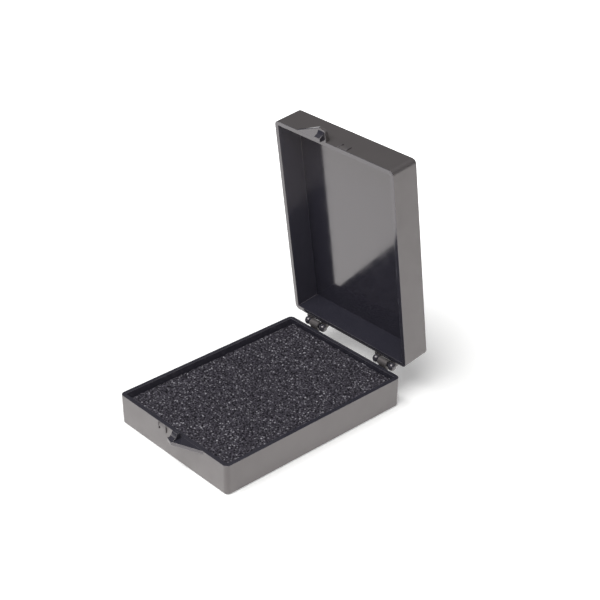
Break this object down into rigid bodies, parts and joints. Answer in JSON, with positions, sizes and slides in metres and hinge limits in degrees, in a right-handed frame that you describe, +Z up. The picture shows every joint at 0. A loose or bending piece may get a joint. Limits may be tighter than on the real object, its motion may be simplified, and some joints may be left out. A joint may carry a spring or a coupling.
{
  "type": "hinged storage box",
  "caption": "Small rectangular hinged storage box: foam-lined tray, hollow lid on moulded snap hinges, and a staggered thumb-tab latch at the front rim.",
  "frame": {"origin": "middle of the tray's underside", "axes": "+Z up, +Y towards the hinges, X along the hinge axis; the lid stands open as in the picture"},
  "size_m": [0.065, 0.1103, 0.1106],
  "materials": {
    "tray_plastic": "glossy moulded black plastic",
    "lid_plastic": "glossy moulded black plastic",
    "foam": "matte black open-cell foam"
  },
  "bodies": {
    "tray": {"base_tray": "tray_plastic", "foam_pad": "foam"},
    "lid": {"lid_cover": "lid_plastic"}
  },
  "joints": [
    {"name": "lid_hinge", "type": "hinge", "parent": "tray", "child": "lid", "pos_m": [0, 0.04795, 0.01305], "axis": [-1, 0, 0], "range_deg": [-82.5, 97.5]}
  ]
}
